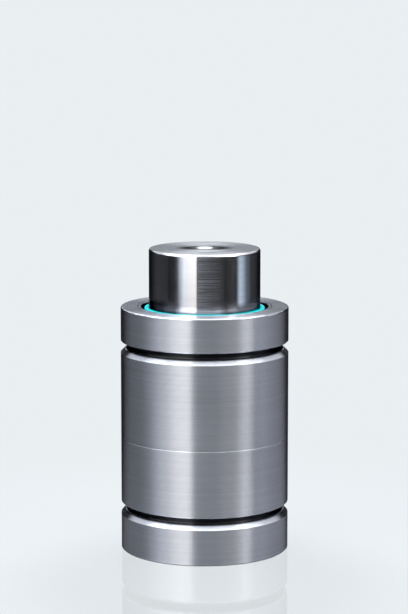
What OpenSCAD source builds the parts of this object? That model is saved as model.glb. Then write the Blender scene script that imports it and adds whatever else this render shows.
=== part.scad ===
// Nitrogen die spring: a polished rod slides in a turned steel body that holds high-pressure gas.
// Millimetres, +Z up along the rod. The origin is the centre of the base face.

/* [Body] */
// Outer diameter of the body
body_d = 95; // [90:0.5:110]
// Height of the body from the base to its top face
body_h = 139; // [128:0.5:200]
// Height of the base land below the lower mounting groove
base_land_h = 22.5; // [18:0.1:28]
// Height of the collar above the upper mounting groove
collar_h = 19.5; // [17:0.1:26]
// Width of both mounting grooves inside their chamfers
groove_w = 4.4; // [4:0.1:7]
// Radial depth of both mounting grooves
groove_depth = 4; // [3:0.1:4.6]
// Corner radius at the floor of the mounting grooves
groove_r = 1.7; // [0.5:0.1:2.2]
// Chamfer on the groove edges that face up
land_chamfer = 2.3; // [0.4:0.1:2.4]
// Small chamfer on the groove edges that face down and on the base
edge_break = 0.5; // [0.2:0.1:0.8]
// Radius on the outer edge of the top face
top_edge_r = 1; // [0.5:0.1:1.6]
// Height of the scribed line round the barrel
scribe_h = 64.6; // [45:0.1:95]
// Width of the scribed line
scribe_w = 0.35; // [0.2:0.05:0.6]
// Thickness of the base under the gas chamber
floor_h = 24; // [22:0.5:30]
// Corner radius at the floor of the gas chamber
floor_r = 5; // [2:0.5:8]

/* [Base bolt holes] */
// Number of tapped holes in the base
bolt_count = 4; // [3:1:6]
// Pitch circle diameter of the tapped holes
bolt_pcd = 60; // [46:1:68]
// Core diameter of the tapped holes
bolt_core_d = 6.8; // [5:0.1:8.5]
// Full depth of the tapped holes
bolt_depth = 13; // [10:0.5:16]
// Diameter of the countersink at the mouth of the holes
bolt_csk_d = 8.8; // [8.6:0.1:10]

/* [Rod] */
// Diameter of the rod
rod_d = 63; // [58:0.5:66]
// Rated stroke of the rod
stroke = 25; // [10:1:40]
// Length of rod that still stands out of the body at the end of the stroke
rod_reserve = 8; // [3:0.5:15]
// Radius on the top edge of the rod
rod_edge_r = 1.5; // [0.5:0.1:2]
// Length of the solid end of the rod above its hollow
rod_crown_h = 26; // [22:0.5:32]
// Diameter of the hollow inside the rod
rod_hollow_d = 44; // [34:0.5:48]
// Corner radius at the end of the hollow
rod_hollow_r = 6; // [2:0.5:10]
// Height of the stop flange at the foot of the rod
flange_h = 12; // [11:0.5:18]
// Core diameter of the tapped lifting hole in the rod
lift_core_d = 6.8; // [5:0.1:8.5]
// Depth of the lifting hole
lift_depth = 16; // [12:0.5:18]
// Diameter of the countersink at the mouth of the lifting hole
lift_csk_d = 10.5; // [9:0.1:12]

/* [Gland] */
// Radial room between the rod and the bore of the body
gland_t = 6; // [5.6:0.1:7]
// Height of the cover ring
cover_h = 3.2; // [2.4:0.1:4]
// Radial step of the mouth that the cover ring sits in
mouth_step = 0.5; // [0.4:0.1:1]
// Radial gap between the rod and the cover ring
cover_rod_gap = 4; // [3.4:0.1:4.6]
// Chamfer on the inner edge of the cover ring
cover_chamfer = 0.8; // [0.3:0.1:1.2]
// Hairline chamfer along the joint between the cover ring and the body
joint_break = 0.15; // [0.1:0.05:0.3]
// Wire diameter of the retaining ring
wire_d = 4; // [3:0.1:4.4]
// Distance from the cover ring down to the retaining ring
wire_drop = 1.7; // [1.2:0.1:3]
// Opening between the ends of the retaining ring
wire_split = 6; // [3:0.5:12]
// Drop of the guide's top below the cover ring
guide_recess = 0.8; // [0.5:0.1:1.5]
// Height of the lip seal
seal_h = 7.2; // [6:0.1:9]
// Radial width of the lip seal
seal_t = 4; // [3.6:0.1:4.2]
// Height of the hard rings behind the lip seal and the O-ring
backup_h = 1.6; // [1.2:0.1:2.4]
// Section diameter of the guide's O-ring, squeezed in its groove
o_ring_d = 2.8; // [2.4:0.1:3.2]
// Height of the guide bush
bush_h = 13; // [9:0.5:16]
// Radial thickness of the bearing strips
bush_t = 2.5; // [1.8:0.1:2.8]
// Solid height between neighbouring grooves of the guide
guide_land_h = 2; // [1.4:0.1:3]
// Height of the guide below its bush
guide_foot_h = 3; // [2:0.5:5]
// Height of the bearing strip on the rod's stop flange
strip_h = 7; // [5:0.5:8]
// Width of the slanted cut through the bearing strips
strip_split = 1; // [0.5:0.1:2]

/* [Wiper] */
// Radial width of the wiper's visible flange
wiper_flange_t = 2.5; // [2:0.1:2.9]
// Height of the wiper's lip above the top face of the body
wiper_rise = 0.2; // [0.1:0.1:1.5]
// Drop of the flange's outer edge below the top face
wiper_drop = 0.35; // [0.2:0.05:0.8]
// Edge radius of the flange
wiper_edge_r = 0.5; // [0.2:0.1:0.8]
// Radial depth of the heel groove
wiper_heel_t = 2.1; // [1.7:0.1:2.4]
// Height of the heel
wiper_heel_h = 3; // [2:0.1:4]
// Radial width of the wiper's stem
wiper_stem_t = 1.3; // [1.1:0.1:1.5]
// Radial relief between the rod and the wiper below its lip
wiper_relief = 0.6; // [0.4:0.1:0.8]
// Height of the lip's land on the rod
wiper_lip_h = 0.8; // [0.5:0.1:1.2]
// Radial width of the lip's tip
wiper_lip_w = 0.35; // [0.2:0.05:0.5]
// Height of the guide's lip that holds the heel
wiper_hold_h = 1.4; // [1:0.1:2]

/* [Charging valve] */
// Diameter of the valve cartridge and its hole
valve_d = 18; // [16.5:0.5:22]
// Depth of the cartridge hole
valve_depth = 15; // [14.5:0.1:16]
// Diameter of the cartridge's nose
nose_d = 12.8; // [12:0.1:13.5]
// Recess of the cartridge below the base face
valve_recess = 0.8; // [0.5:0.1:1.5]
// Diameter of the spanner holes in the cartridge
spanner_hole_d = 1.8; // [1.2:0.1:2]
// Depth of the spanner holes
spanner_hole_depth = 3; // [2:0.1:4]
// Head diameter of the port plug
plug_head_d = 10; // [9:0.1:10.6]
// Radial room round the head of the port plug
plug_head_gap = 0.5; // [0.3:0.1:0.8]
// Recess of the plug's head below the cartridge
plug_recess = 0.2; // [0.1:0.1:0.5]
// Head height of the port plug
plug_head_h = 2.4; // [2:0.1:3]
// Thread diameter of the port plug
plug_thread_d = 6; // [5.6:0.1:7]
// Thread length of the port plug
plug_thread_l = 6; // [5:0.1:6.4]
// Hexagon key size of the port plug
plug_key = 4; // [3:0.5:4.5]
// Depth of the key socket
plug_key_depth = 3; // [2:0.1:4]
// Height of the sealing washer under the plug
plug_seal_h = 1; // [0.6:0.1:1.4]
// Free length of the port beyond the plug
port_relief = 0.4; // [0.2:0.1:0.6]
// Diameter of the gas passage
passage_d = 3; // [2.6:0.1:3.4]
// Length of the gas passage
passage_l = 2.2; // [1.8:0.1:2.6]
// Diameter of the spring chamber
spring_room_d = 8.4; // [8:0.1:8.8]
// Head diameter of the poppet
poppet_d = 6.6; // [6.2:0.1:7.2]
// Thickness of the poppet's head
poppet_head_h = 1.1; // [0.8:0.1:1.6]
// Radial step from the poppet's head to its rubber cone
poppet_seal_step = 0.2; // [0.1:0.05:0.4]
// Height of the straight rim of the rubber cone
poppet_seal_h = 0.9; // [0.6:0.1:1.2]
// Length of the pin below the rubber cone
poppet_pin_l = 1.4; // [1:0.1:1.6]
// Diameter of that pin
poppet_pin_d = 1.8; // [1.4:0.1:2]
// Stem diameter of the poppet
poppet_stem_d = 2.4; // [2:0.1:2.6]
// Lift of the poppet
poppet_lift = 1.2; // [0.8:0.1:1.4]
// Fitted length of the valve spring
spring_l = 4.6; // [4.2:0.1:6]
// Wire diameter of the valve spring
spring_wire_d = 0.6; // [0.4:0.05:0.7]
// Mean coil diameter of the valve spring
spring_coil_d = 5; // [4.4:0.1:5.4]
// Turns of the valve spring
spring_turns = 4.5; // [3.5:0.5:5]
// Thickness of the drilled cap
cap_h = 2; // [1.8:0.1:3]
// Width of the ledge that the cap sits on
cap_ledge = 0.7; // [0.5:0.1:1]
// Number of gas holes in the cap
cap_hole_count = 4; // [3:1:6]
// Diameter of the gas holes
cap_hole_d = 1; // [0.6:0.1:1.2]

/* [Clearances] */
// Radial clearance of fitted and screwed pieces
fit_gap = 0.05; // [0.02:0.01:0.1]
// Radial clearance of sliding pieces
run_gap = 0.06; // [0.03:0.01:0.1]
// Radial clearance between the rod and the steel of the guide
rod_gap = 0.4; // [0.3:0.05:0.6]
// Radial clearance between the stop flange and the bore
flange_gap = 0.5; // [0.3:0.05:0.8]
// Axial clearance of seals and stops
seat_gap = 0.1; // [0.05:0.01:0.2]

/* [Hidden] */
$fn = 128;

// Overshoot of cutters past the face that they open
past = 1;
// Half angle of a drill point
drill_half_angle = 59;
// Slant of the cut through the bearing strips
strip_slant = 30;

// Radii shared by pieces that fit each other
body_r = body_d / 2;
rod_r = rod_d / 2;
bore_r = rod_r + gland_t;
mouth_r = bore_r + mouth_step;
wire_r = wire_d / 2;
neck_r = bore_r - wire_r - fit_gap;
guide_bore_r = rod_r + rod_gap;
seal_groove_r = rod_r + seal_t;
bush_groove_r = rod_r + bush_t;
heel_groove_r = rod_r + wiper_heel_t;
stem_groove_r = rod_r + wiper_stem_t;
o_groove_r = bore_r - o_ring_d - 2 * fit_gap;
flange_r = bore_r - flange_gap;
strip_groove_r = bore_r - bush_t;

// Heights of the mounting grooves
lower_groove_z = base_land_h;
upper_groove_z = body_h - collar_h - groove_w;

// Heights of the gland, from the top face down
mouth_z = body_h - cover_h;
wire_z = mouth_z - wire_drop - wire_r;
guide_top = mouth_z - guide_recess;
heel_top = guide_top - wiper_hold_h;
heel_bottom = heel_top - wiper_heel_h;
seal_groove_top = heel_bottom - guide_land_h;
seal_groove_bottom = seal_groove_top - seal_h - backup_h - 2 * seat_gap;
o_groove_top = seal_groove_bottom - guide_land_h;
o_groove_bottom = o_groove_top - o_ring_d - backup_h - 3 * seat_gap;
bush_groove_top = o_groove_bottom - guide_land_h;
bush_groove_bottom = bush_groove_top - bush_h - 2 * seat_gap;
guide_bottom = bush_groove_bottom - guide_foot_h;

// Heights of the rod
rod_top = body_h + stroke + rod_reserve;
flange_top = guide_bottom - seat_gap;
flange_bottom = flange_top - flange_h;
hollow_top = rod_top - rod_crown_h;
strip_bottom = flange_bottom + (flange_h - strip_h) / 2;

// Radii and heights of the charging valve, from the base up
valve_r = valve_d / 2;
nose_r = nose_d / 2;
plug_r = plug_thread_d / 2;
plug_head_room_r = plug_head_d / 2 + plug_head_gap;
passage_r = passage_d / 2;
spring_room_r = spring_room_d / 2;
poppet_r = poppet_d / 2;
stem_r = poppet_stem_d / 2;
cap_r = spring_room_r + cap_ledge;
valve_ring_d = valve_r - nose_r - 2 * fit_gap;
plug_bottom = valve_recess + plug_recess;
plug_seal_z = plug_bottom + plug_head_h;
port_z = plug_seal_z + plug_seal_h;
plug_tip = plug_seal_z + plug_thread_l;
port_end = plug_tip + port_relief;
passage_end = port_end + passage_l;
seat_top = passage_end + spring_room_r - passage_r;
shoulder_z = valve_depth - valve_ring_d - 2 * seat_gap;
poppet_seal_r = poppet_r - poppet_seal_step;
seal_cone_z = passage_end + seat_gap * sqrt(2);
poppet_head_z = seal_cone_z + poppet_seal_r - passage_r + poppet_seal_h;
spring_z = poppet_head_z + poppet_head_h;
cap_z = spring_z + spring_l;
cap_top = cap_z + cap_h;
stem_top = cap_top - poppet_lift - seat_gap;

steel = [0.72, 0.73, 0.76];
polished_steel = [0.82, 0.83, 0.86];
dark_steel = [0.42, 0.43, 0.46];
cyan_rubber = [0.0, 0.82, 0.90];
black_rubber = [0.06, 0.06, 0.07];
bronze = [0.66, 0.47, 0.24];
seal_green = [0.16, 0.36, 0.30];
white_plastic = [0.90, 0.89, 0.85];
brass = [0.80, 0.65, 0.32];

// Ring section: a rectangle between two radii and two heights
module band(r_in, r_out, z_low, z_high) {
    translate([r_in, z_low])
        square([r_out - r_in, z_high - z_low]);
}

// Solid section from the axis out to radius r, with its top edge rounded
module round_top(r, z_low, z_high, edge_r) {
    band(0, r, z_low, z_high - edge_r);
    band(0, r - edge_r, z_low, z_high);
    translate([r - edge_r, z_high - edge_r])
        circle(edge_r);
}

// Cutter section that breaks an outer edge at radius r by a chamfer c; up = 1 for an edge that faces up
module outer_chamfer(r, z, c, up) {
    polygon([[r - c, z], [r - c, z + up * past], [r + past, z + up * past],
             [r + past, z - up * (c + past)], [r, z - up * c]]);
}

// Blind tapped hole from z = 0 upwards, with a countersunk mouth and a drill point
module tapped_hole(core_d, depth, csk_d) {
    core_r = core_d / 2;
    csk_r = csk_d / 2;
    tip_h = core_r / tan(drill_half_angle);
    rotate_extrude()
        polygon([[0, -past], [csk_r, -past], [csk_r, 0], [core_r, csk_r - core_r],
                 [core_r, depth], [0, depth + tip_h]]);
}

// Bearing strip: a ring with a slanted cut
module split_strip(r_in, r_out, z_low, h) {
    difference() {
        rotate_extrude()
            band(r_in, r_out, z_low, z_low + h);
        translate([0, -(r_in + r_out) / 2, z_low + h / 2])
            rotate([0, strip_slant, 0])
                cube([strip_split, 4 * (r_out - r_in), 3 * h], center = true);
    }
}

// U-shaped groove section, open outwards, with its lower wall at z
module mounting_groove(z) {
    r = min(groove_r, groove_w / 2 - 0.2);
    floor_x = body_r - groove_depth;
    band(floor_x + r, body_r + past, z, z + groove_w);
    band(floor_x, floor_x + r, z + r, z + groove_w - r);
    translate([floor_x + r, z + r])
        circle(r);
    translate([floor_x + r, z + groove_w - r])
        circle(r);
    outer_chamfer(body_r, z, land_chamfer, 1);
    outer_chamfer(body_r, z + groove_w, edge_break, -1);
}

// Gas chamber section with a rounded floor corner
module chamber() {
    band(-past, bore_r, floor_h + floor_r, body_h + past);
    band(-past, bore_r - floor_r, floor_h, floor_h + floor_r + past);
    translate([bore_r - floor_r, floor_h + floor_r])
        circle(floor_r);
}

module tube_section() {
    difference() {
        round_top(body_r, 0, body_h, top_edge_r);
        chamber();
        band(-past, mouth_r, mouth_z, body_h + past);
        polygon([[mouth_r - past, body_h + past], [mouth_r + joint_break, body_h + past],
                 [mouth_r + joint_break, body_h], [mouth_r, body_h - joint_break],
                 [mouth_r - past, body_h - joint_break]]);
        translate([bore_r, wire_z])
            circle(wire_r + fit_gap);
        outer_chamfer(body_r, 0, edge_break, -1);
        mounting_groove(lower_groove_z);
        mounting_groove(upper_groove_z);
        polygon([[body_r - scribe_w / 2, scribe_h], [body_r + past, scribe_h - scribe_w / 2 - past],
                 [body_r + past, scribe_h + scribe_w / 2 + past]]);
        band(-past, valve_r, -past, valve_depth);
        band(-past, nose_r + fit_gap, valve_depth - past, floor_h + past);
    }
}

module cylinder_tube() {
    color(steel)
        difference() {
            rotate_extrude()
                tube_section();
            for (i = [0 : bolt_count - 1])
                rotate([0, 0, (i + 0.5) * 360 / bolt_count])
                    translate([bolt_pcd / 2, 0, 0])
                        tapped_hole(bolt_core_d, bolt_depth, bolt_csk_d);
        }
}

// Hollow of the rod, open downwards
module rod_hollow() {
    r = rod_hollow_d / 2;
    band(-past, r, flange_bottom - past, hollow_top - rod_hollow_r);
    band(-past, r - rod_hollow_r, flange_bottom, hollow_top);
    translate([r - rod_hollow_r, hollow_top - rod_hollow_r])
        circle(rod_hollow_r);
}

module rod_section() {
    difference() {
        union() {
            round_top(rod_r, flange_bottom, rod_top, rod_edge_r);
            band(0, flange_r, flange_bottom, flange_top);
        }
        rod_hollow();
        outer_chamfer(flange_r, flange_top, edge_break, 1);
        outer_chamfer(flange_r, flange_bottom, edge_break, -1);
        band(strip_groove_r, bore_r + past, strip_bottom - seat_gap, strip_bottom + strip_h + seat_gap);
    }
}

module piston_rod() {
    color(polished_steel)
        difference() {
            rotate_extrude()
                rod_section();
            translate([0, 0, rod_top])
                mirror([0, 0, 1])
                    tapped_hole(lift_core_d, lift_depth, lift_csk_d);
        }
}

module piston_guide_ring() {
    color(bronze)
        split_strip(strip_groove_r + fit_gap, bore_r - run_gap, strip_bottom, strip_h);
}

module guide_section() {
    difference() {
        union() {
            band(guide_bore_r, bore_r - fit_gap, guide_bottom, wire_z);
            band(guide_bore_r, neck_r, guide_bottom, guide_top);
        }
        translate([bore_r, wire_z])
            circle(wire_r + fit_gap);
        band(0, bush_groove_r, bush_groove_bottom, bush_groove_top);
        band(0, seal_groove_r, seal_groove_bottom, seal_groove_top);
        band(0, heel_groove_r, heel_bottom, heel_top);
        band(0, stem_groove_r, heel_top - past, guide_top + past);
        band(o_groove_r, bore_r + past, o_groove_bottom, o_groove_top);
        outer_chamfer(bore_r - fit_gap, guide_bottom, edge_break, -1);
        outer_chamfer(neck_r, guide_top, edge_break, 1);
    }
}

module rod_guide() {
    color(dark_steel)
        rotate_extrude()
            guide_section();
}

module guide_bush() {
    color(bronze)
        split_strip(rod_r + run_gap, bush_groove_r - fit_gap, bush_groove_bottom + seat_gap, bush_h);
}

// Slot of the lip seal that takes the energising O-ring, open downwards
energiser_r = seal_t / 4;
energiser_x = rod_r + seal_t / 2;
energiser_z = seal_groove_bottom + seat_gap + 2 * energiser_r;

module rod_seal() {
    z0 = seal_groove_bottom + seat_gap;
    lip_r = rod_r + run_gap;
    relief = seal_t * 0.08;
    lip_h = seal_h * 0.3;
    lip_lead = seal_t * 0.12;
    color(seal_green)
        rotate_extrude()
            difference() {
                polygon([[lip_r + lip_lead, z0], [lip_r, z0 + lip_lead], [lip_r + relief, z0 + lip_h],
                         [lip_r + relief, z0 + seal_h - relief], [lip_r + 2 * relief, z0 + seal_h],
                         [seal_groove_r - fit_gap - relief, z0 + seal_h],
                         [seal_groove_r - fit_gap - relief, z0 + lip_h],
                         [seal_groove_r - fit_gap, z0 + lip_lead],
                         [seal_groove_r - fit_gap - lip_lead, z0]]);
                band(energiser_x - energiser_r, energiser_x + energiser_r, z0 - past, energiser_z);
                translate([energiser_x, energiser_z])
                    circle(energiser_r);
            }
}

module seal_energiser() {
    color(black_rubber)
        rotate_extrude()
            translate([energiser_x, energiser_z])
                circle(energiser_r - fit_gap);
}

module seal_backup_ring() {
    color(white_plastic)
        rotate_extrude()
            band(rod_r + run_gap, seal_groove_r - fit_gap,
                 seal_groove_top - backup_h, seal_groove_top);
}

module guide_o_ring() {
    color(black_rubber)
        rotate_extrude()
            translate([o_groove_r + fit_gap + o_ring_d / 2, o_groove_bottom + seat_gap + o_ring_d / 2])
                circle(d = o_ring_d);
}

module guide_backup_ring() {
    color(white_plastic)
        rotate_extrude()
            band(o_groove_r + fit_gap, bore_r - fit_gap, o_groove_top - backup_h, o_groove_top);
}

module retaining_ring() {
    color(dark_steel)
        difference() {
            rotate_extrude()
                translate([bore_r, wire_z])
                    circle(wire_r);
            translate([0, bore_r, wire_z])
                cube([wire_split, 4 * wire_d, 2 * wire_d], center = true);
        }
}

module cover_ring() {
    r_in = rod_r + cover_rod_gap;
    r_out = mouth_r - fit_gap;
    color(steel)
        rotate_extrude()
            difference() {
                band(r_in, r_out, mouth_z, body_h);
                polygon([[r_in - past, body_h - cover_chamfer - past],
                         [r_in + cover_chamfer + past, body_h + past], [r_in - past, body_h + past]]);
                outer_chamfer(r_out, body_h, joint_break, 1);
            }
}

// Wiper: a heel in the guide's groove, a stem, and a flange that rises to the lip on the rod
module rod_wiper() {
    lip_r = rod_r + run_gap;
    relief_r = rod_r + wiper_relief;
    rim_r = rod_r + wiper_flange_t;
    rim_z = body_h - wiper_drop;
    edge_r = rim_r - wiper_edge_r;
    lip_z = body_h + wiper_rise;
    color(cyan_rubber)
        rotate_extrude() {
            band(relief_r, heel_groove_r - fit_gap, heel_bottom + seat_gap, heel_top - seat_gap);
            band(relief_r, stem_groove_r - fit_gap, heel_bottom + seat_gap, guide_top + past);
            band(relief_r, rim_r, guide_top, rim_z - wiper_edge_r);
            polygon([[relief_r, guide_top], [edge_r, guide_top], [edge_r, rim_z],
                     [lip_r + wiper_lip_w, lip_z], [lip_r, lip_z - wiper_lip_w / 2],
                     [lip_r, lip_z - wiper_lip_h], [relief_r, guide_top + past]]);
            translate([edge_r, rim_z - wiper_edge_r])
                circle(wiper_edge_r);
        }
}

module valve_body_section() {
    difference() {
        union() {
            band(0, valve_r - fit_gap, valve_recess, shoulder_z);
            band(0, nose_r, valve_recess, cap_top);
        }
        band(-past, plug_head_room_r, valve_recess - past, port_z);
        band(-past, plug_r, port_z - past, port_end);
        band(-past, passage_r, port_end - past, passage_end + past);
        polygon([[0, passage_end - passage_r], [spring_room_r, seat_top],
                 [spring_room_r, cap_top], [0, cap_top]]);
        band(-past, cap_r, cap_z, cap_top + past);
        outer_chamfer(valve_r - fit_gap, valve_recess, edge_break, -1);
        outer_chamfer(nose_r, cap_top, edge_break, 1);
    }
}

// Screwed cartridge with two holes for a pin spanner
module valve_body() {
    hole_circle_r = (plug_head_room_r + valve_r) / 2;
    color(brass)
        difference() {
            rotate_extrude()
                valve_body_section();
            for (side = [-1, 1])
                translate([side * hole_circle_r, 0, valve_recess - past])
                    cylinder(d = spanner_hole_d, h = spanner_hole_depth + past);
        }
}

module valve_body_o_ring() {
    color(black_rubber)
        rotate_extrude()
            translate([nose_r + fit_gap + valve_ring_d / 2, shoulder_z + seat_gap + valve_ring_d / 2])
                circle(d = valve_ring_d);
}

// Poppet: a depressor pin, a core through the rubber cone, the head and the guided stem
module valve_poppet() {
    color(polished_steel)
        rotate_extrude() {
            band(0, poppet_pin_d / 2, seal_cone_z - poppet_pin_l, poppet_head_z);
            band(0, stem_r, seal_cone_z, stem_top);
            band(0, poppet_r, poppet_head_z, spring_z);
        }
}

module poppet_seal() {
    inner_r = stem_r + fit_gap;
    color(black_rubber)
        rotate_extrude()
            polygon([[inner_r, seal_cone_z], [passage_r, seal_cone_z],
                     [poppet_seal_r, seal_cone_z + poppet_seal_r - passage_r],
                     [poppet_seal_r, poppet_head_z], [inner_r, poppet_head_z]]);
}

// Valve spring: a round wire swept along a helix whose end turns lie close
spring_sides = 8;
spring_steps = 16;
spring_rings = ceil(spring_turns * spring_steps);
spring_end_turns = 0.75;

// Rise of the wire's centre after t turns
function spring_rise(t) =
    let (close = spring_wire_d * 1.05,
         end_rise = close * spring_end_turns,
         span = spring_l - spring_wire_d - 2 * seat_gap,
         middle = (span - 2 * end_rise) / (spring_turns - 2 * spring_end_turns))
    t < spring_end_turns ? close * t
    : t < spring_turns - spring_end_turns ? end_rise + middle * (t - spring_end_turns)
    : span - close * (spring_turns - t);

// Points of one ring round the wire
function spring_ring(i) =
    let (t = i * spring_turns / spring_rings,
         turn = 360 * t,
         base = spring_z + seat_gap + spring_wire_d / 2 + spring_rise(t))
    [for (k = [0 : spring_sides - 1])
        let (a = 360 * k / spring_sides,
             r = spring_coil_d / 2 + spring_wire_d / 2 * cos(a))
        [r * cos(turn), r * sin(turn), base + spring_wire_d / 2 * sin(a)]];

module valve_spring() {
    points = [for (i = [0 : spring_rings]) each spring_ring(i)];
    last = spring_rings * spring_sides;
    walls = [for (i = [0 : spring_rings - 1], k = [0 : spring_sides - 1])
        let (n = (k + 1) % spring_sides, a = i * spring_sides, b = a + spring_sides)
        each [[a + k, b + k, b + n], [a + k, b + n, a + n]]];
    start = [[for (k = [0 : spring_sides - 1]) k]];
    end = [[for (k = [spring_sides - 1 : -1 : 0]) last + k]];
    color(dark_steel)
        polyhedron(points = points, faces = concat(walls, start, end));
}

// Cap with a guide hole for the stem and gas holes round it
module valve_cap() {
    hole_circle_r = spring_room_r - cap_hole_d / 2 - seat_gap;
    color(brass)
        difference() {
            translate([0, 0, cap_z])
                cylinder(r = cap_r - fit_gap, h = cap_h);
            translate([0, 0, cap_z - past])
                cylinder(r = stem_r + run_gap, h = cap_h + 2 * past);
            for (i = [0 : cap_hole_count - 1])
                rotate([0, 0, i * 360 / cap_hole_count])
                    translate([hole_circle_r, 0, cap_z - past])
                        cylinder(d = cap_hole_d, h = cap_h + 2 * past);
        }
}

module port_plug() {
    color(dark_steel)
        difference() {
            rotate_extrude()
                difference() {
                    union() {
                        band(0, plug_head_d / 2, plug_bottom, plug_seal_z);
                        band(0, plug_r - fit_gap, plug_bottom, plug_tip);
                    }
                    outer_chamfer(plug_head_d / 2, plug_bottom, edge_break / 2, -1);
                    outer_chamfer(plug_r - fit_gap, plug_tip, edge_break, 1);
                }
            translate([0, 0, plug_bottom - past])
                cylinder(d = plug_key / cos(30), h = plug_key_depth + past, $fn = 6);
        }
}

module plug_seal() {
    color(brass)
        rotate_extrude()
            band(plug_r + fit_gap, plug_head_d / 2, plug_seal_z, port_z);
}

cylinder_tube();
piston_rod();
piston_guide_ring();
rod_guide();
guide_bush();
rod_seal();
seal_energiser();
seal_backup_ring();
guide_o_ring();
guide_backup_ring();
retaining_ring();
cover_ring();
rod_wiper();
valve_body();
valve_body_o_ring();
valve_poppet();
poppet_seal();
valve_spring();
valve_cap();
port_plug();
plug_seal();
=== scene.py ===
import math
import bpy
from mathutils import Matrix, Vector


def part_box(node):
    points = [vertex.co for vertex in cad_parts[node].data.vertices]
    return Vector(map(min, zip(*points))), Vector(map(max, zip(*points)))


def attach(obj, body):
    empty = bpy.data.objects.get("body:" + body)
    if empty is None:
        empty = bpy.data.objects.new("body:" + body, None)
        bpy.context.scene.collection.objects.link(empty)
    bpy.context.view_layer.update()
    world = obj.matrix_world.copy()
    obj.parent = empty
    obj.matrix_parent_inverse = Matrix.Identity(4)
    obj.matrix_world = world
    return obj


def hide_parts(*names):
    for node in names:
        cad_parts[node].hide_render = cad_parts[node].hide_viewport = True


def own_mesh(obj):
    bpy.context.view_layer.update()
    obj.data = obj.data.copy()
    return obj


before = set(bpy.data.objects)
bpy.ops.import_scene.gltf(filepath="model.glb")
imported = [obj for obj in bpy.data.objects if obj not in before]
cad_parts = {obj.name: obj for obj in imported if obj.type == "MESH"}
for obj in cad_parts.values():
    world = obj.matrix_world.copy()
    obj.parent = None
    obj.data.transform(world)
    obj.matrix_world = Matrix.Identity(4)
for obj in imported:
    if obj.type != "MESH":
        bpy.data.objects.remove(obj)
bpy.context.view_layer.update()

from types import SimpleNamespace

import bmesh
import bpy

# One millimetre, in metres.
MM = 0.001

# Sizes of the part, in metres. The rod's foot is wider than the rod, so its box doesn't give its radius.
BODY_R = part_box("cylinder_tube")[1][0]
TOP_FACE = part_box("cylinder_tube")[1][2]
ROD_R = 31.5 * MM


# Helpers for shader nodes

# Sockets of the Mix node when it mixes colours.
MIX_FACTOR, MIX_A, MIX_B, MIX_RESULT = 0, 6, 7, 2
# Value that noise swings round.
NOISE_MIDDLE = 0.5


def node_of(tree, kind, **values):
    """A new shader node with some of its settings."""
    node = tree.nodes.new(kind)
    for key, value in values.items():
        setattr(node, key, value)
    return node


def link(tree, source, target):
    """Joins an output socket to an input socket."""
    tree.links.new(source, target)


def math_node(tree, operation, a, b=None, c=None):
    """A Math node; a, b and c are sockets or numbers."""
    node = node_of(tree, "ShaderNodeMath", operation=operation)
    for i, value in enumerate((a, b, c)):
        if value is None:
            continue
        if isinstance(value, (int, float)):
            node.inputs[i].default_value = value
        else:
            link(tree, value, node.inputs[i])
    return node.outputs[0]


def split(tree, vector):
    """The X, Y and Z sockets of a vector."""
    node = node_of(tree, "ShaderNodeSeparateXYZ")
    link(tree, vector, node.inputs["Vector"])
    return node.outputs["X"], node.outputs["Y"], node.outputs["Z"]


def length_of(tree, vector, scale):
    """Length of a vector once its axes are scaled."""
    scaled = node_of(tree, "ShaderNodeVectorMath", operation="MULTIPLY")
    link(tree, vector, scaled.inputs[0])
    scaled.inputs[1].default_value = scale
    length = node_of(tree, "ShaderNodeVectorMath", operation="LENGTH")
    link(tree, scaled.outputs["Vector"], length.inputs[0])
    return length.outputs["Value"]


def noise(tree, vector, scale, detail=3.0, rough=0.5):
    """Cloudy noise round NOISE_MIDDLE."""
    node = node_of(tree, "ShaderNodeTexNoise")
    node.inputs["Scale"].default_value = scale
    node.inputs["Detail"].default_value = detail
    node.inputs["Roughness"].default_value = rough
    link(tree, vector, node.inputs["Vector"])
    return node.outputs["Fac"]


def ramp(tree, fac, stops, smooth=False):
    """A colour ramp; stops are (place, colour or grey)."""
    node = node_of(tree, "ShaderNodeValToRGB")
    if smooth:
        node.color_ramp.interpolation = "EASE"
    elements = node.color_ramp.elements
    while len(elements) < len(stops):
        elements.new(0.5)
    for element, (place, colour) in zip(elements, stops):
        element.position = place
        if isinstance(colour, (int, float)):
            colour = (colour, colour, colour)
        element.color = (*colour, 1.0)
    link(tree, fac, node.inputs["Fac"])
    return node.outputs["Color"]


def fade(tree, value, start, end, at_start=1.0, at_end=0.0):
    """A straight fade between two values, held beyond them; finer than a colour ramp."""
    node = node_of(tree, "ShaderNodeMapRange")
    link(tree, value, node.inputs["Value"])
    limits = {"From Min": start, "From Max": end, "To Min": at_start, "To Max": at_end}
    for socket, number in limits.items():
        node.inputs[socket].default_value = number
    return node.outputs["Result"]


def mix_colour(tree, fac, a, b, blend="MIX"):
    """Two colours mixed; fac is a socket or a number, a and b are sockets or colours."""
    node = node_of(tree, "ShaderNodeMix", data_type="RGBA", blend_type=blend)
    for index, value in ((MIX_FACTOR, fac), (MIX_A, a), (MIX_B, b)):
        if isinstance(value, (int, float)):
            node.inputs[index].default_value = value
        elif isinstance(value, tuple):
            node.inputs[index].default_value = (*value, 1.0)
        else:
            link(tree, value, node.inputs[index])
    return node.outputs[MIX_RESULT]


def bare_material(name):
    """A material with only its output; returns the material, its tree and the output's socket."""
    material = bpy.data.materials.new(name)
    material.use_nodes = True
    tree = material.node_tree
    tree.nodes.clear()
    output = node_of(tree, "ShaderNodeOutputMaterial")
    return material, tree, output.inputs["Surface"]


def principled_material(name):
    """A material with a Principled shader; returns the material, its tree and the shader."""
    material, tree, surface = bare_material(name)
    shader = node_of(tree, "ShaderNodeBsdfPrincipled")
    link(tree, shader.outputs["BSDF"], surface)
    return material, tree, shader


# Turned surfaces

# Change of the feed for each step outward, where each step up counts as one.
RADIAL_FEED = -0.77
# Pitch of the regular rings, in millimetres.
FEED_PITCH = 0.61
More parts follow.
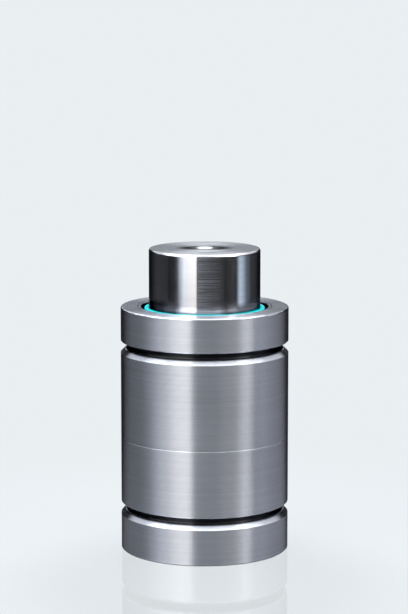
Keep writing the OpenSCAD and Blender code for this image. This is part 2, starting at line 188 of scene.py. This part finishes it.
# Coarse rings: their share beside the fine ones, and how many there are for each fine one.
COARSE_SHARE, COARSE_RINGS = 0.45, 0.32
# Ring values with the dark and the light colour.
RING_DARK, RING_LIGHT = 0.32, 0.68
# Dull patches: their number per metre, the noise between which they fade, and their share of the
# roughness range.
PATCHES, PATCH_EDGE, PATCH_SHARE = 28.0, (0.35, 0.62), 0.6
# Upward part of the normal where walls end, for tone and for roughness, where slopes lie, and where
# level faces start.
WALL_TONE_END, WALL_ROUGH_END = 0.15, 0.12
SLOPE_FROM, SLOPE_TO, LEVEL_FROM = 0.35, 0.85, 0.97
# Edges look rounded by this radius.
EDGE_R, EDGE_SAMPLES = 0.12 * MM, 4
# A quarter turn lays the stretched highlight across the rings.
QUARTER_TURN = 0.25


def turned_point(tree, around=6.0):
    """Sockets for a point of a turned piece.

    place is where it is, x and z are parts of that, and radius is its distance from the axis. feed is
    the way along the lathe tool's feed, in millimetres. along is a vector for noise that changes with
    the feed and only a little, by around, on the way round the axis."""
    place = node_of(tree, "ShaderNodeTexCoord").outputs["Object"]
    x, y, z = split(tree, place)
    radius = length_of(tree, place, (1.0, 1.0, 0.0))
    feed = math_node(tree, "MULTIPLY_ADD", radius, RADIAL_FEED, z)
    feed = math_node(tree, "MULTIPLY", feed, 1.0 / MM)
    along = node_of(tree, "ShaderNodeCombineXYZ")
    link(tree, feed, along.inputs["X"])
    link(tree, math_node(tree, "MULTIPLY", x, around), along.inputs["Y"])
    link(tree, math_node(tree, "MULTIPLY", y, around), along.inputs["Z"])
    return SimpleNamespace(place=place, x=x, z=z, radius=radius, feed=feed, along=along.outputs["Vector"])


def lathe_rings(tree, point, per_mm, feed_share):
    """Turning marks round NOISE_MIDDLE: all of them, and the fine ones alone."""
    coarse = noise(tree, point.along, per_mm * COARSE_RINGS, detail=2.0)
    fine = noise(tree, point.along, per_mm, detail=5.0, rough=0.65)
    fine_part = math_node(tree, "MULTIPLY", fine, 1.0 - COARSE_SHARE)
    rings = math_node(tree, "MULTIPLY_ADD", coarse, COARSE_SHARE, fine_part)
    if feed_share:
        wave = math_node(tree, "SINE", math_node(tree, "MULTIPLY", point.feed, math.tau / FEED_PITCH))
        rings = math_node(tree, "MULTIPLY_ADD", wave, feed_share, rings)
    return rings, fine


def by_tilt(tree, tilt, wall_end, wall, slope, level):
    """A value for walls, one for chamfers and slopes, and one for level faces."""
    stops = ((wall_end, wall), (SLOPE_FROM, slope), (SLOPE_TO, slope), (LEVEL_FROM, level))
    return ramp(tree, tilt, stops)


def turned_metal(name, light, dark, roughness, spread, per_mm, depth, stain=0.04, stretch=0.9,
                 edge_tone=1.0, level_tone=1.0, around=6.0, feed_share=0.0, scuff=0.0, painted_shade=None):
    """Lathe-turned metal: fine rings, a highlight drawn out across them, dull patches and softened edges.

    light and dark are the colours of the rings. roughness has the middle values on walls, on slopes and
    on level faces, and spread is their range. per_mm is the number of fine rings per millimetre, depth
    their depth in metres, feed_share the share of regular rings. stain is how much the patches darken,
    stretch the anisotropy. edge_tone and level_tone scale the colour of slopes and of level faces: a
    painted highlight where above one, painted shade where below one. scuff is the strength of rubbed
    hairlines. The last argument is a function that returns the masks where shade is painted into the
    colour."""
    material, tree, shader = principled_material(name)
    point = turned_point(tree, around)
    # The upward part of the normal, with its sign and without.
    point.facing = split(tree, node_of(tree, "ShaderNodeTexCoord").outputs["Normal"])[2]
    tilt = math_node(tree, "ABSOLUTE", point.facing)
    rings, fine = lathe_rings(tree, point, per_mm, feed_share)
    patches = noise(tree, point.place, PATCHES)

    tone = ramp(tree, rings, ((RING_DARK, dark), (RING_LIGHT, light)))
    dull = ramp(tree, patches, ((PATCH_EDGE[0], 1.0 - stain), (PATCH_EDGE[1], 1.0)))
    # Painted highlight on slopes, and painted shade or highlight on level faces, by their tilt.
    tilt_painted_light = by_tilt(tree, tilt, WALL_TONE_END, 1.0, edge_tone, level_tone)
    colour = mix_colour(tree, 1.0, tone, dull, "MULTIPLY")
    colour = mix_colour(tree, 1.0, colour, tilt_painted_light, "MULTIPLY")
    if scuff:
        colour = scuffed(tree, point, colour, scuff)
    # Shade painted into the colour where the masks say.
    if painted_shade:
        colour = with_painted_shade(tree, painted_shade(tree, point), colour, shader)
    link(tree, colour, shader.inputs["Base Color"])

    rough = by_tilt(tree, tilt, WALL_ROUGH_END, *roughness)
    for marks, reach in ((rings, spread), (patches, spread * PATCH_SHARE)):
        swing = math_node(tree, "SUBTRACT", marks, NOISE_MIDDLE)
        rough = math_node(tree, "MULTIPLY_ADD", swing, reach, rough)
    link(tree, rough, shader.inputs["Roughness"])
    shader.inputs["Metallic"].default_value = 1.0
    shader.inputs["Anisotropic"].default_value = stretch
    shader.inputs["Anisotropic Rotation"].default_value = QUARTER_TURN
    tangent = node_of(tree, "ShaderNodeTangent", direction_type="RADIAL", axis="Z")
    link(tree, tangent.outputs["Tangent"], shader.inputs["Tangent"])

    edge = node_of(tree, "ShaderNodeBevel", samples=EDGE_SAMPLES)
    edge.inputs["Radius"].default_value = EDGE_R
    relief = add_relief(tree, shader, fine, 1.0, depth)
    link(tree, edge.outputs["Normal"], relief.inputs["Normal"])
    return material


def add_relief(tree, shader, height, strength, depth):
    """A bump on the shader's normal; returns its node."""
    relief = node_of(tree, "ShaderNodeBump")
    relief.inputs["Strength"].default_value = strength
    relief.inputs["Distance"].default_value = depth
    link(tree, height, relief.inputs["Height"])
    link(tree, relief.outputs["Normal"], shader.inputs["Normal"])
    return relief


# Hairlines on the rod: where their band fades in and out across x, lines per millimetre, and tones.
SCUFF_IN, SCUFF_OUT = (-5.0 * MM, -2.0 * MM), (5.0 * MM, 20.0 * MM)
HAIRS_PER_MM = 1.3
HAIR_TONES = ((0.34, 0.45), (0.5, 0.95), (0.66, 1.5))


def scuffed(tree, point, colour, strength):
    """The colour with hairlines rubbed into a band along the front and the back."""
    rise = fade(tree, point.x, *SCUFF_IN, 0.0, strength)
    band = math_node(tree, "MULTIPLY", rise, fade(tree, point.x, *SCUFF_OUT))
    hairs = ramp(tree, noise(tree, point.along, HAIRS_PER_MM, rough=0.6), HAIR_TONES)
    return mix_colour(tree, band, colour, mix_colour(tree, 1.0, colour, hairs, "MULTIPLY"))


# Painted shade: dark gaps and recesses, and dark reflections painted on the rod

# Painted shade: the dark colour it gives the metal straight on, and the tint that dims the metal's
# reflection at a glance.
PAINTED_SHADE_COLOUR, PAINTED_SHADE_GLANCE = (0.035, 0.037, 0.042), (0.15, 0.155, 0.17)
# Shade is painted on the walls inside these radii, where they lie in shadow: in the body's grooves, and in
# the wiper's seat.
GROOVE_SHADE_R, SEAT_SHADE_R = BODY_R - 2.0 * MM, 36.4 * MM
GAP_SHADE_FADE = 0.6 * MM
# Share of the painted shade in gaps, by the upward part of the normal: none on level faces.
GAP_SHADE_SHARE = ((0.8, 1.0), (0.95, 0.0))
# Painted dark reflection on the rod's top: an oval band round the middle, long in x, for the dark lobes
# beside the hole.
# Its inner and outer fades are shares of its length.
TOP_SHADE_LENGTH, TOP_SHADE_WIDTH, TOP_SHADE_STRENGTH = 17.0 * MM, 9.0 * MM, 0.85
TOP_SHADE_INNER, TOP_SHADE_OUTER = (0.3, 0.55), (0.65, 1.0)
# Upward part of the normal where the rod's top starts and is full.
ROD_TOP = (0.95, 0.99)
# Painted shade at the rod's foot, which darkens the collar's reflection there: height of the tallest band,
# and the fade below its top.
FOOT_SHADE_TOP, FOOT_SHADE_FADE = TOP_FACE + 7.0 * MM, 3.0 * MM
# For each band of painted shade: middle of the clear strip, distances from there to its start and to its
# full strength, strength, and how much lower its top is.
FOOT_SHADES = (
    (4.0 * MM, 19.0 * MM, 27.0 * MM, 0.95, 0.0),
    (20.0 * MM, 33.0 * MM, 36.5 * MM, 0.85, 1.2 * MM),
    (-20.0 * MM, 28.0 * MM, 31.5 * MM, 0.65, 1.2 * MM),
)


def with_painted_shade(tree, masks, colour, shader):
    """The colour with shade painted in where a mask is set; also dims the shader's glance there."""
    painted_shade = masks[0]
    for mask in masks[1:]:
        painted_shade = math_node(tree, "MAXIMUM", painted_shade, mask)
    # The painted shade dims the reflection too.
    link(tree, mix_colour(tree, painted_shade, (1.0, 1.0, 1.0), PAINTED_SHADE_GLANCE), shader.inputs["Specular Tint"])
    return mix_colour(tree, painted_shade, colour, PAINTED_SHADE_COLOUR)


def gap_shade(tree, point, edge_r):
    """Painted shade on walls and slopes inside a radius."""
    inside = fade(tree, point.radius, edge_r - GAP_SHADE_FADE, edge_r)
    return math_node(tree, "MULTIPLY", inside, ramp(tree, point.facing, GAP_SHADE_SHARE))


def groove_shade(tree, point):
    """Painted shade in the body's grooves."""
    return [gap_shade(tree, point, GROOVE_SHADE_R)]


def seat_shade(tree, point):
    """Painted shade in the wiper's seat."""
    return [gap_shade(tree, point, SEAT_SHADE_R)]


def rod_painted_shade(tree, point):
    """A dark reflection painted on the rod's top, and painted shade at its foot."""
    # A dark reflection painted in an oval band round the top's hole.
    reach = length_of(tree, point.place, (1.0, TOP_SHADE_LENGTH / TOP_SHADE_WIDTH, 0.0))
    inner_from, inner_to = (share * TOP_SHADE_LENGTH for share in TOP_SHADE_INNER)
    outer_from, outer_to = (share * TOP_SHADE_LENGTH for share in TOP_SHADE_OUTER)
    inner = fade(tree, reach, inner_from, inner_to, 0.0, TOP_SHADE_STRENGTH)
    top_shade = math_node(tree, "MULTIPLY", inner, fade(tree, reach, outer_from, outer_to))
    masks = [math_node(tree, "MULTIPLY", top_shade, fade(tree, point.facing, *ROD_TOP, 0.0, 1.0))]
    # Shade painted in bands at the rod's foot, clear round the strips given.
    for middle, start, full, strength, drop in FOOT_SHADES:
        aside = math_node(tree, "ABSOLUTE", math_node(tree, "SUBTRACT", point.x, middle))
        flank = fade(tree, aside, start, full, 0.0, strength)
        low = fade(tree, point.z, FOOT_SHADE_TOP - drop - FOOT_SHADE_FADE, FOOT_SHADE_TOP - drop)
        masks.append(math_node(tree, "MULTIPLY", flank, low))
    return masks


# Moulded surfaces

# Clouds per metre, mould rings per millimetre, and the rings' share beside the clouds.
CLOUDS, MOULD_RINGS, MOULD_RING_SHARE = 140.0, 1.6, 0.4
# Values with the dark and the light colour.
CLOUD_DARK, CLOUD_LIGHT = 0.3, 0.7
# Range of the roughness, and strength of the skin's bump.
MOULDED_SPREAD, SKIN_STRENGTH = 0.16, 0.5


def moulded(name, light, dark, roughness, depth, grain, shine=0.5):
    """Moulded rubber or plastic: cloudy colour, a fine skin and faint mould rings.

    light and dark are its colours, roughness its middle value, depth the skin's depth in metres, grain
    its fineness per metre, and shine the specular level."""
    material, tree, shader = principled_material(name)
    point = turned_point(tree)
    cloud = noise(tree, point.place, CLOUDS, detail=4.0)
    rings = noise(tree, point.along, MOULD_RINGS)
    cloud_part = math_node(tree, "MULTIPLY", cloud, 1.0 - MOULD_RING_SHARE)
    blend = math_node(tree, "MULTIPLY_ADD", rings, MOULD_RING_SHARE, cloud_part)
    tone = ramp(tree, blend, ((CLOUD_DARK, dark), (CLOUD_LIGHT, light)))
    link(tree, tone, shader.inputs["Base Color"])
    rough = math_node(tree, "MULTIPLY_ADD", cloud, MOULDED_SPREAD, roughness - MOULDED_SPREAD / 2)
    link(tree, rough, shader.inputs["Roughness"])
    shader.inputs["Specular IOR Level"].default_value = shine
    add_relief(tree, shader, noise(tree, point.place, grain, detail=2.0), SKIN_STRENGTH, depth)
    return material


# Materials of the pieces

# Painted shade in the grooves and the wiper's seat, a painted dark reflection on the rod's top and painted
# shade at its foot; edge_tone paints a highlight on slopes, and the rod's level_tone paints shade on its
# top.
STEEL = turned_metal(
    "turned_steel", light=(0.67, 0.688, 0.76), dark=(0.47, 0.488, 0.56), roughness=(0.41, 0.24, 0.27),
    spread=0.08, per_mm=1.3, depth=0.003 * MM, stretch=1.0, edge_tone=1.5, feed_share=0.25, painted_shade=groove_shade)
RING_STEEL = turned_metal(
    "cover_ring_steel", light=(0.64, 0.658, 0.73), dark=(0.48, 0.498, 0.57), roughness=(0.41, 0.24, 0.27),
    spread=0.08, per_mm=1.9, depth=0.003 * MM, stretch=1.0, edge_tone=1.5, painted_shade=seat_shade)
CHROME = turned_metal(
    "polished_rod", light=(0.755, 0.757, 0.80), dark=(0.665, 0.667, 0.71), roughness=(0.155, 0.20, 0.25),
    spread=0.04, per_mm=1.6, depth=0.001 * MM, stain=0.02, stretch=0.85, edge_tone=1.2, level_tone=0.95,
    around=30.0, scuff=0.8, painted_shade=rod_painted_shade)
DARK_STEEL = turned_metal(
    "phosphated_steel", light=(0.23, 0.23, 0.24), dark=(0.15, 0.15, 0.16), roughness=(0.46, 0.40, 0.46),
    spread=0.12, per_mm=1.5, depth=0.005 * MM)
BRONZE = turned_metal(
    "bearing_bronze", light=(0.62, 0.40, 0.19), dark=(0.47, 0.28, 0.12), roughness=(0.40, 0.36, 0.42),
    spread=0.12, per_mm=1.4, depth=0.004 * MM)
BRASS = turned_metal(
    "brass", light=(0.78, 0.58, 0.25), dark=(0.63, 0.44, 0.17), roughness=(0.33, 0.28, 0.34),
    spread=0.10, per_mm=2.6, depth=0.003 * MM)
COPPER = turned_metal(
    "copper", light=(0.76, 0.42, 0.28), dark=(0.60, 0.30, 0.19), roughness=(0.36, 0.30, 0.38),
    spread=0.10, per_mm=2.6, depth=0.003 * MM)
CYAN = moulded(
    "cyan_wiper", light=(0.002, 0.92, 0.96), dark=(0.0, 0.80, 0.88), roughness=0.34,
    depth=0.010 * MM, grain=2600.0, shine=0.1)
GREEN = moulded(
    "green_seal", light=(0.10, 0.34, 0.20), dark=(0.06, 0.24, 0.14), roughness=0.42,
    depth=0.010 * MM, grain=2600.0)
BLACK = moulded(
    "black_rubber", light=(0.030, 0.030, 0.032), dark=(0.018, 0.018, 0.020), roughness=0.55,
    depth=0.014 * MM, grain=3200.0)
WHITE = moulded(
    "white_plastic", light=(0.82, 0.81, 0.77), dark=(0.72, 0.71, 0.67), roughness=0.40,
    depth=0.008 * MM, grain=2400.0)

FINISH = {
    "cylinder_tube": STEEL, "piston_rod": CHROME, "cover_ring": RING_STEEL, "rod_wiper": CYAN,
    "rod_guide": DARK_STEEL, "guide_bush": BRONZE, "piston_guide_ring": BRONZE, "rod_seal": GREEN,
    "seal_energiser": BLACK, "seal_backup_ring": WHITE, "guide_o_ring": BLACK, "guide_backup_ring": WHITE,
    "retaining_ring": DARK_STEEL, "valve_body": BRASS, "valve_body_o_ring": BLACK, "valve_poppet": BRASS,
    "poppet_seal": BLACK, "valve_spring": DARK_STEEL, "valve_cap": BRASS, "port_plug": DARK_STEEL,
    "plug_seal": COPPER,
}
for node_name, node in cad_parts.items():
    node.data.materials.clear()
    node.data.materials.append(FINISH[node_name])


# Helpers for meshes


def object_from(bm, name, material):
    """An object in the scene, made from a bmesh."""
    mesh = bpy.data.meshes.new(name)
    bm.to_mesh(mesh)
    bm.free()
    mesh.materials.append(material)
    obj = bpy.data.objects.new(name, mesh)
    bpy.context.scene.collection.objects.link(obj)
    return obj


def bridge(bm, loops):
    """Smooth faces from each closed loop of points to the next."""
    for a, b in zip(loops, loops[1:]):
        for k in range(len(a)):
            n = (k + 1) % len(a)
            bm.faces.new((a[k], b[k], b[n], a[n])).smooth = True


# Valve spring: a smooth coil in place of the faceted one.

# Diameters of the wire, and of the coil at the wire's centre.
SPRING_WIRE, SPRING_COIL = 0.6 * MM, 5.0 * MM
# Turns in all, and close turns at each end.
SPRING_TURNS, SPRING_END_TURNS = 4.5, 0.75
# Rise of each turn where the turns lie close.
SPRING_CLOSE = 1.05 * SPRING_WIRE
# Points along each turn, and round the wire.
SPRING_STEPS, SPRING_SIDES = 48, 16


def coil_rise(turns, span):
    """Rise of the wire's centre after so many turns; the end turns lie close."""
    end_rise = SPRING_CLOSE * SPRING_END_TURNS
    pitch = (span - 2 * end_rise) / (SPRING_TURNS - 2 * SPRING_END_TURNS)
    if turns < SPRING_END_TURNS:
        return SPRING_CLOSE * turns
    if turns > SPRING_TURNS - SPRING_END_TURNS:
        return span - SPRING_CLOSE * (SPRING_TURNS - turns)
    return end_rise + pitch * (turns - SPRING_END_TURNS)


def coil_spring(name, low, high, material):
    """A round wire wound round the axis between two heights."""
    span = high - low - SPRING_WIRE
    count = round(SPRING_TURNS * SPRING_STEPS)
    wire_r = SPRING_WIRE / 2
    bm = bmesh.new()
    loops = []
    for i in range(count + 1):
        turns = SPRING_TURNS * i / count
        turn = math.tau * turns
        centre_z = low + wire_r + coil_rise(turns, span)
        loop = []
        for k in range(SPRING_SIDES):
            around_wire = math.tau * k / SPRING_SIDES
            radius = SPRING_COIL / 2 + wire_r * math.cos(around_wire)
            z = centre_z + wire_r * math.sin(around_wire)
            loop.append(bm.verts.new((radius * math.cos(turn), radius * math.sin(turn), z)))
        loops.append(loop)
    bridge(bm, loops)
    bm.faces.new(loops[0])
    bm.faces.new(reversed(loops[-1]))
    bmesh.ops.recalc_face_normals(bm, faces=bm.faces)
    return object_from(bm, name, material)


spring_low, spring_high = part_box("valve_spring")
spring_piece = coil_spring("valve_spring_coil", spring_low[2], spring_high[2], DARK_STEEL)
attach(spring_piece, "cylinder")
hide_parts("valve_spring")
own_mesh(spring_piece)


# Wiper: the solid's section, with its lip pressed down beside the rod and its rim a little lower.

# Distances out from the rod.
WIPER_LIP, WIPER_LIP_W, WIPER_RELIEF = 0.06 * MM, 0.35 * MM, 0.6 * MM
WIPER_STEM, WIPER_HEEL, WIPER_FLANGE = 1.25 * MM, 2.05 * MM, 2.5 * MM
# Heights of the heel and the neck over the bottom, of the relief's end over the neck, and of the lip.
WIPER_HEEL_H, WIPER_NECK_H, WIPER_RELIEF_H, WIPER_LIP_H = 2.8 * MM, 4.3 * MM, 1.0 * MM, 0.8 * MM
# Depths of the rim and of the pressed lip under the body's top face.
WIPER_RIM_DROP, WIPER_LIP_DROP = 0.5 * MM, 0.45 * MM
# Radius of the rounded rim, and steps along it.
WIPER_RIM_R, WIPER_RIM_STEPS = 0.5 * MM, 6
WIPER_SIDES = 160
# Edges sharper than this angle stay sharp.
SHARP_ANGLE = 30.0


def wiper_section(bottom, face):
    """Points round the wiper's section: distance from the rod, and height."""
    heel = bottom + WIPER_HEEL_H
    neck = bottom + WIPER_NECK_H
    rim = face - WIPER_RIM_DROP
    lip = face - WIPER_LIP_DROP
    points = [(WIPER_RELIEF, bottom), (WIPER_HEEL, bottom), (WIPER_HEEL, heel), (WIPER_STEM, heel),
              (WIPER_STEM, neck), (WIPER_FLANGE, neck)]
    for i in range(WIPER_RIM_STEPS + 1):
        turn = math.pi / 2 * i / WIPER_RIM_STEPS
        out = WIPER_FLANGE - WIPER_RIM_R * (1 - math.cos(turn))
        points.append((out, rim - WIPER_RIM_R * (1 - math.sin(turn))))
    points += [(WIPER_LIP + WIPER_LIP_W, lip), (WIPER_LIP, lip - WIPER_LIP_W / 2),
               (WIPER_LIP, lip - WIPER_LIP_H), (WIPER_RELIEF, neck + WIPER_RELIEF_H)]
    return points


def turned_ring(name, section, inner_r, sides, material):
    """A ring turned from a closed section; the section's distances are from inner_r."""
    bm = bmesh.new()
    loops = []
    for i in range(sides):
        turn = math.tau * i / sides
        loop = []
        for out, z in section:
            radius = inner_r + out
            loop.append(bm.verts.new((radius * math.cos(turn), radius * math.sin(turn), z)))
        loops.append(loop)
    bridge(bm, loops + loops[:1])
    bmesh.ops.recalc_face_normals(bm, faces=bm.faces)
    ring = object_from(bm, name, material)
    ring.data.set_sharp_from_angle(angle=math.radians(SHARP_ANGLE))
    return ring


wiper_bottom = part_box("rod_wiper")[0][2]
wiper_points = wiper_section(wiper_bottom, TOP_FACE)
wiper_piece = turned_ring("rod_wiper_ring", wiper_points, ROD_R, WIPER_SIDES, CYAN)
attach(wiper_piece, "cylinder")
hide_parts("rod_wiper")


# Studio cards: lights and dark flags round the part, which the camera doesn't see


def flag_material(name, colour):
    """A dull dark card."""
    material, tree, surface = bare_material(name)
    shader = node_of(tree, "ShaderNodeBsdfDiffuse")
    shader.inputs["Color"].default_value = (*colour, 1.0)
    link(tree, shader.outputs["BSDF"], surface)
    return material


def card_light(name, colour, strength, stops=None):
    """An even light, or one graded along its card by stops of (place, share of the light or colour)."""
    material, tree, surface = bare_material(name)
    shader = node_of(tree, "ShaderNodeEmission")
    shader.inputs["Strength"].default_value = strength
    shader.inputs["Color"].default_value = (*colour, 1.0)
    if stops:
        along = split(tree, node_of(tree, "ShaderNodeUVMap").outputs["UV"])[0]
        tints = []
        for place, value in stops:
            tint = value if isinstance(value, tuple) else tuple(part * value for part in colour)
            tints.append((place, tint))
        link(tree, ramp(tree, along, tints), shader.inputs["Color"])
    link(tree, shader.outputs["Emission"], surface)
    return material


def stage_card(bm, name, material):
    """A card on the stage, hidden from the camera."""
    obj = object_from(bm, name, material)
    obj.visible_camera = False


def bowed_card(name, turns, distance, heights, material, steps=12):
    """An upright card bowed round the part, in metres.

    turns are its ends, in degrees to the right from the camera's side of the part."""
    low, high = heights
    bm = bmesh.new()
    uv_layer = bm.loops.layers.uv.new("UVMap")
    columns = []
    for i in range(steps + 1):
        turn = math.radians(turns[0] + (turns[1] - turns[0]) * i / steps)
        x, y = distance * math.sin(turn), -distance * math.cos(turn)
        columns.append((bm.verts.new((x, y, low)), bm.verts.new((x, y, high))))
    for i in range(steps):
        a, b = columns[i], columns[i + 1]
        face = bm.faces.new((a[0], b[0], b[1], a[1]))
        for loop, (u, v) in zip(face.loops, ((i, 0), (i + 1, 0), (i + 1, 1), (i, 1))):
            loop[uv_layer].uv = (u / steps, v)
    stage_card(bm, name, material)


def level_card(name, centre_y, size, height, material):
    """A flat card, level, over or under the part."""
    half_x, half_y = size[0] / 2, size[1] / 2
    bm = bmesh.new()
    corners = ((-half_x, -half_y), (half_x, -half_y), (half_x, half_y), (-half_x, half_y))
    bm.faces.new([bm.verts.new((x, centre_y + y, height)) for x, y in corners])
    stage_card(bm, name, material)


FLAG = flag_material("dark_flag", (0.015, 0.016, 0.019))
level_card("ground_flag", centre_y=0.0, size=(4.0, 4.0), height=-0.75, material=FLAG)
bowed_card("low_flag", turns=(-180, 180), distance=1.7, heights=(-0.75, -0.02), material=FLAG, steps=48)
bowed_card("wall_flag", turns=(-180, 180), distance=1.6, heights=(-0.05, 0.75), material=FLAG, steps=48)
bowed_card(
    "back_card", turns=(164, 196), distance=1.55, heights=(0.34, 0.6), steps=8,
    material=card_light("back_light", (0.88, 0.94, 1.0), 0.5))
bowed_card(
    "main_softbox_low", turns=(-57, -16), distance=0.9, heights=(0.0, 0.2),
    material=card_light("main_light_low", (1.0, 0.985, 0.935), 1.85, (
        (0.0, 0.02), (0.18, (0.37, 0.43, 0.52)), (0.36, (0.82, 0.85, 0.89)), (0.9, 1.0))))
bowed_card(
    "main_softbox", turns=(-62, -17.5), distance=0.9, heights=(0.2, 1.1),
    material=card_light("main_light", (1.0, 0.978, 0.925), 4.0, (
        (0.0, 0.25), (0.3, 0.75), (0.88, 1.0), (1.0, 0.75))))
bowed_card(
    "left_fill", turns=(-160, -50), distance=1.1, heights=(0.55, 1.15),
    material=card_light("left_light", (0.90, 0.95, 1.0), 5.0, (
        (0.0, 0.14), (0.55, 0.2), (0.72, 0.62), (0.84, 1.0), (1.0, 0.95))))
bowed_card(
    "right_strip", turns=(68, 111), distance=0.9, heights=(-0.12, 0.12),
    material=card_light("strip_light", (0.71, 0.85, 1.0), 1.0, (
        (0.0, 0.02), (0.2, 1.0), (0.36, 0.75), (0.6, 0.2), (1.0, 0.03))))
bowed_card(
    "front_fill", turns=(-14, 44), distance=1.5, heights=(-0.2, 0.1),
    material=card_light("front_light", (0.9, 0.94, 1.0), 0.31, (
        (0.0, 1.0), (0.2, 0.7), (0.6, 0.35), (0.8, 0.2), (1.0, 0.0))))
bowed_card(
    "left_glow", turns=(-150, -80), distance=1.5, heights=(-0.25, 0.1),
    material=card_light("left_glow_light", (0.9, 0.94, 1.0), 0.045, (
        (0.0, 0.05), (0.2, 0.3), (0.5, 1.0), (1.0, 0.6))))
bowed_card(
    "right_glow", turns=(104, 138), distance=1.5, heights=(-0.25, 0.1),
    material=card_light("right_glow_light", (0.85, 0.92, 1.0), 0.04, (
        (0.0, 0.5), (0.4, 1.0), (1.0, 0.4))))
bowed_card(
    "right_softbox", turns=(20, 72), distance=0.9, heights=(0.35, 1.0),
    material=card_light("right_light", (1.0, 0.995, 0.97), 4.7, (
        (0.0, 0.2), (0.22, 0.27), (0.4, 0.3), (0.57, 0.37), (0.74, 1.0), (0.95, 1.0), (1.0, 0.4))))
bowed_card(
    "right_fill", turns=(70, 160), distance=1.1, heights=(0.5, 1.15),
    material=card_light("right_fill_light", (0.94, 0.96, 1.0), 2.2, (
        (0.0, 0.7), (0.25, 0.6), (0.45, 0.4), (0.65, 0.35), (1.0, 0.3))))
bowed_card(
    "left_low", turns=(-152, -86), distance=1.45, heights=(-0.74, -0.3),
    material=card_light("left_low_light", (0.9, 0.94, 1.0), 0.45, (
        (0.0, 0.7), (0.4, 1.0), (1.0, 0.6))))
bowed_card(
    "right_low", turns=(84, 152), distance=1.45, heights=(-0.74, -0.3),
    material=card_light("right_low_light", (0.90, 0.92, 1.0), 1.1, (
        (0.0, 0.5), (0.25, 1.0), (0.6, 0.9), (1.0, 0.5))))
level_card(
    "hair_softbox", centre_y=0.87, size=(1.1, 0.95), height=1.22,
    material=card_light("hair_light", (0.92, 0.96, 1.0), 2.6))
level_card(
    "top_softbox", centre_y=0.15, size=(2.6, 2.6), height=1.25,
    material=card_light("top_light", (0.95, 0.98, 1.0), 1.8))


# Pale floor: see-through to the background, with a soft contact shadow near the part and polish in front

FLOOR_R, FLOOR_SIDES = 12.0, 96
FLOOR_TONE = (0.74, 0.77, 0.79, 1.0)
POLISH_TONE, POLISH_ROUGHNESS = (1.0, 1.0, 1.0, 1.0), 0.03
# Share of the matt floor that takes the shadow, by the distance from the axis, in metres.
SHADOW_SHARE = ((0.06, 0.12), (0.30, 0.0))
# Share of the polish, by the distance from a point in front of the part.
POLISH_CENTRE = (0.0, -0.085, 0.0)
POLISH_SHARE = ((0.06, 0.20), (0.14, 0.0))


def mix_shader(tree, share, first, second):
    """Two shaders mixed; share is the second one's."""
    node = node_of(tree, "ShaderNodeMixShader")
    link(tree, share, node.inputs["Fac"])
    link(tree, first, node.inputs[1])
    link(tree, second, node.inputs[2])
    return node.outputs["Shader"]


def share_near(tree, place, centre, stops):
    """A share that changes smoothly with the distance from a point."""
    node = node_of(tree, "ShaderNodeVectorMath", operation="DISTANCE")
    link(tree, place, node.inputs[0])
    node.inputs[1].default_value = centre
    return ramp(tree, node.outputs["Value"], stops, smooth=True)


def floor_material(name):
    """Clear, matt and polished parts of the floor."""
    material, tree, surface = bare_material(name)
    clear = node_of(tree, "ShaderNodeBsdfTransparent")
    matt = node_of(tree, "ShaderNodeBsdfDiffuse")
    matt.inputs["Color"].default_value = FLOOR_TONE
    polish = node_of(tree, "ShaderNodeBsdfGlossy")
    polish.inputs["Color"].default_value = POLISH_TONE
    polish.inputs["Roughness"].default_value = POLISH_ROUGHNESS
    place = node_of(tree, "ShaderNodeTexCoord").outputs["Object"]
    shadow_share = share_near(tree, place, (0.0, 0.0, 0.0), SHADOW_SHARE)
    ground = mix_shader(tree, shadow_share, clear.outputs["BSDF"], matt.outputs["BSDF"])
    polish_share = share_near(tree, place, POLISH_CENTRE, POLISH_SHARE)
    link(tree, mix_shader(tree, polish_share, ground, polish.outputs["BSDF"]), surface)
    return material


floor_bm = bmesh.new()
bmesh.ops.create_circle(floor_bm, cap_ends=True, segments=FLOOR_SIDES, radius=FLOOR_R)
floor = object_from(floor_bm, "floor", floor_material("pale_floor"))


# Background, and the camera

# Pale background, as linear colour.
PALE = (0.823, 0.863, 0.888, 1.0)
# Camera, in millimetres and degrees: the view that fits the photograph's circles and edges.
CAMERA_X, CAMERA_Y, CAMERA_Z = -0.36, -1329.7, 343.2
CAMERA_PITCH = 8.76
# Height of the photograph and focal length, in pixels, and the sensor's height in millimetres.
IMAGE_H_PX, FOCAL_PX, SENSOR_H = 614, 2379.7, 36.0
# Nearest and farthest that the camera draws, in metres.
CLIP_NEAR, CLIP_FAR = 0.01, 50.0

scene = bpy.context.scene
world = bpy.data.worlds.new("studio")
scene.world = world
world.use_nodes = True
background = world.node_tree.nodes["Background"]
background.inputs["Color"].default_value = PALE
background.inputs["Strength"].default_value = 1.0

camera_data = bpy.data.cameras.new("camera")
camera_data.sensor_fit = "VERTICAL"
camera_data.sensor_height = SENSOR_H
camera_data.lens = SENSOR_H * FOCAL_PX / IMAGE_H_PX
camera_data.clip_start = CLIP_NEAR
camera_data.clip_end = CLIP_FAR
camera = bpy.data.objects.new("camera", camera_data)
scene.collection.objects.link(camera)
camera.location = (CAMERA_X * MM, CAMERA_Y * MM, CAMERA_Z * MM)
camera.rotation_euler = (math.radians(90.0 - CAMERA_PITCH), 0.0, 0.0)
scene.camera = camera
scene.view_settings.view_transform = "Standard"
